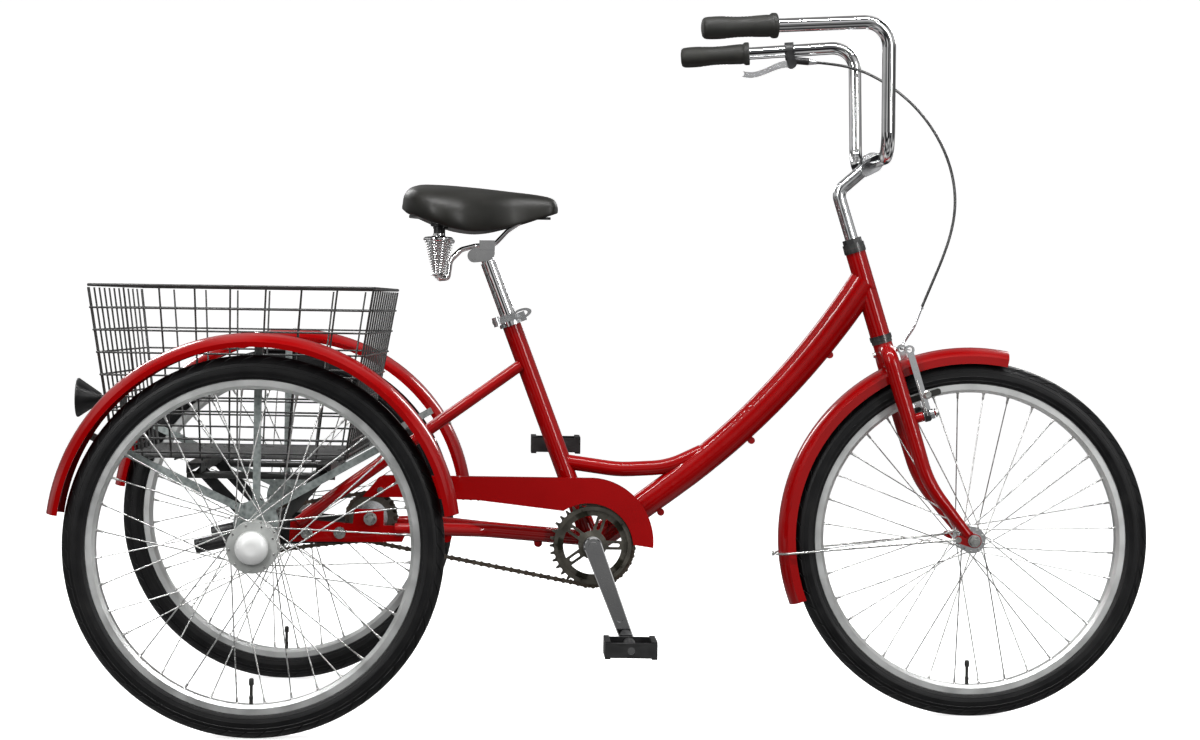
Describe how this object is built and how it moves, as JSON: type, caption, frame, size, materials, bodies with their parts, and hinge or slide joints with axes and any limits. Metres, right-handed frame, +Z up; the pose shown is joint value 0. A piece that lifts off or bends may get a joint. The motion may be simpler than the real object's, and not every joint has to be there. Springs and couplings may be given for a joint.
{
  "type": "adult tricycle",
  "caption": "Step-through pedal tricycle with one front wheel, two large rear wheels, a rear wire basket, mudguards, sprung saddle and high swept-back handlebar.",
  "frame": {"origin": "on the ground under the middle of the machine's length and width", "axes": "+X forward, towards the front wheel; +Y to the rider's left; +Z up"},
  "size_m": [1.8115, 0.74, 1.1584],
  "materials": {
    "red_paint": "gloss enamel over steel",
    "black_steel": "semi-gloss black powder coat",
    "galvanised_steel": "matt galvanised",
    "zinc_steel": "bright zinc",
    "chrome_plate": "mirror chrome",
    "polished_alloy": "polished",
    "rim_alloy": "satin anodised",
    "spoke_steel": "drawn wire",
    "hub_grey": "light grey, satin",
    "tyre_rubber": "ribbed and blocked tread",
    "black_rubber": "soft matt",
    "black_plastic": "moulded, fine grain",
    "dark_steel": "black oxide",
    "chain_steel": "oiled brown",
    "saddle_vinyl": "smooth vinyl, soft gloss",
    "red_lens": "prismatic reflector"
  },
  "bodies": {
    "frame": {"main_frame": "red_paint", "frame_bearings": "black_steel", "seat_clamp": "polished_alloy", "axle_carrier": "black_steel", "frame_fasteners": "zinc_steel", "jackshaft_axle": "zinc_steel", "rear_fenders": "red_paint", "fender_struts": "galvanised_steel", "basket_back": "black_steel", "basket_floor": "black_steel", "basket_front": "black_steel", "basket_left": "black_steel", "basket_right": "black_steel", "reflector_housing": "black_plastic", "reflector_lens": "red_lens", "chain_guard": "red_paint", "front_chain": "chain_steel", "rear_chain": "chain_steel"},
    "steering": {"fork": "red_paint", "headset_locknuts": "black_steel", "stem": "polished_alloy", "handlebar": "chrome_plate", "grips": "black_rubber", "brake_bracket": "black_plastic", "brake_cable": "black_plastic", "cable_noodle": "polished_alloy", "front_fender": "red_paint", "fender_stay": "zinc_steel", "front_axle": "zinc_steel"},
    "brake_lever": {"brake_lever": "polished_alloy"},
    "right_brake": {"right_brake_arm": "polished_alloy", "right_brake_pad": "black_rubber"},
    "left_brake": {"left_brake_arm": "polished_alloy", "left_brake_pad": "black_rubber"},
    "front_wheel": {"front_hub": "polished_alloy", "front_rim": "rim_alloy", "front_tyre": "tyre_rubber", "front_spokes": "spoke_steel"},
    "crankset": {"chainring": "dark_steel", "right_crank": "chrome_plate", "left_crank": "chrome_plate"},
    "right_pedal": {"right_pedal": "black_plastic"},
    "left_pedal": {"left_pedal": "black_plastic"},
    "jackshaft": {"jackshaft_hub": "polished_alloy", "jackshaft_sprockets": "dark_steel"},
    "drive_axle": {"rear_axle": "zinc_steel", "right_wheel_hub": "hub_grey", "right_wheel_rim": "rim_alloy", "right_wheel_tyre": "tyre_rubber", "right_wheel_spokes": "spoke_steel"},
    "left_wheel": {"left_wheel_hub": "hub_grey", "left_wheel_rim": "rim_alloy", "left_wheel_tyre": "tyre_rubber", "left_wheel_spokes": "spoke_steel"},
    "seat": {"seatpost": "chrome_plate", "saddle_rails": "chrome_plate", "saddle_springs": "chrome_plate", "saddle_base": "black_plastic", "saddle_cover": "saddle_vinyl"},
    "qr_lever": {"qr_lever": "polished_alloy"}
  },
  "joints": [
    {"name": "steer", "type": "hinge", "parent": "frame", "child": "steering", "pos_m": [0.451, 0, 0.6414], "axis": [-0.2969, 0, 0.9549], "range_deg": [-55, 55]},
    {"name": "front_wheel_spin", "type": "hinge", "parent": "steering", "child": "front_wheel", "pos_m": [0.606, 0, 0.3], "axis": [0, 1, 0], "continuous": true},
    {"name": "crank_spin", "type": "hinge", "parent": "frame", "child": "crankset", "pos_m": [-0.0322, 0, 0.2838], "axis": [0, 1, 0], "continuous": true, "deforming": ["front_chain", "rear_chain"]},
    {"name": "right_pedal_spin", "type": "hinge", "parent": "crankset", "child": "right_pedal", "pos_m": [0.02872, -0.135, 0.12509], "axis": [0, 1, 0], "continuous": true},
    {"name": "left_pedal_spin", "type": "hinge", "parent": "crankset", "child": "left_pedal", "pos_m": [-0.09312, 0.135, 0.44251], "axis": [0, 1, 0], "continuous": true},
    {"name": "jackshaft_spin", "type": "hinge", "parent": "frame", "child": "jackshaft", "pos_m": [-0.4035, 0, 0.3251], "axis": [0, 1, 0], "continuous": true},
    {"name": "drive_axle_spin", "type": "hinge", "parent": "frame", "child": "drive_axle", "pos_m": [-0.573, 0, 0.3], "axis": [0, 1, 0], "continuous": true},
    {"name": "left_wheel_spin", "type": "hinge", "parent": "frame", "child": "left_wheel", "pos_m": [-0.573, 0, 0.3], "axis": [0, 1, 0], "continuous": true},
    {"name": "seatpost_slide", "type": "slide", "parent": "frame", "child": "seat", "axis": [-0.3586, 0, 0.9335], "range_m": [-0.06, 0.08]},
    {"name": "qr_lever_swing", "type": "hinge", "parent": "frame", "child": "qr_lever", "pos_m": [-0.19835, -0.0235, 0.6548], "axis": [0.33, 0, -0.944], "range_deg": [0, 170]},
    {"name": "brake_lever_pull", "type": "hinge", "parent": "steering", "child": "brake_lever", "pos_m": [0.318, 0.206, 1.118], "axis": [0, 1, 0], "range_deg": [0, 15], "stiffness_Nm_per_rad": 1.2, "springref_deg": -2.86},
    {"name": "right_brake_swing", "type": "hinge", "parent": "steering", "child": "right_brake", "pos_m": [0.52762, -0.044, 0.5095], "axis": [0.9549, 0, 0.2969], "range_deg": [-3.6, 0]},
    {"name": "left_brake_swing", "type": "hinge", "parent": "steering", "child": "left_brake", "pos_m": [0.52762, 0.044, 0.5095], "axis": [0.9549, 0, 0.2969], "range_deg": [0, 3.6]}
  ],
  "couplings": [
    {"joint": "jackshaft_spin", "follows": "crank_spin", "ratio": 1.7},
    {"joint": "drive_axle_spin", "follows": "crank_spin", "ratio": 1.8889},
    {"joint": "right_brake_swing", "follows": "brake_lever_pull", "ratio": -0.2333},
    {"joint": "left_brake_swing", "follows": "brake_lever_pull", "ratio": 0.2333}
  ]
}
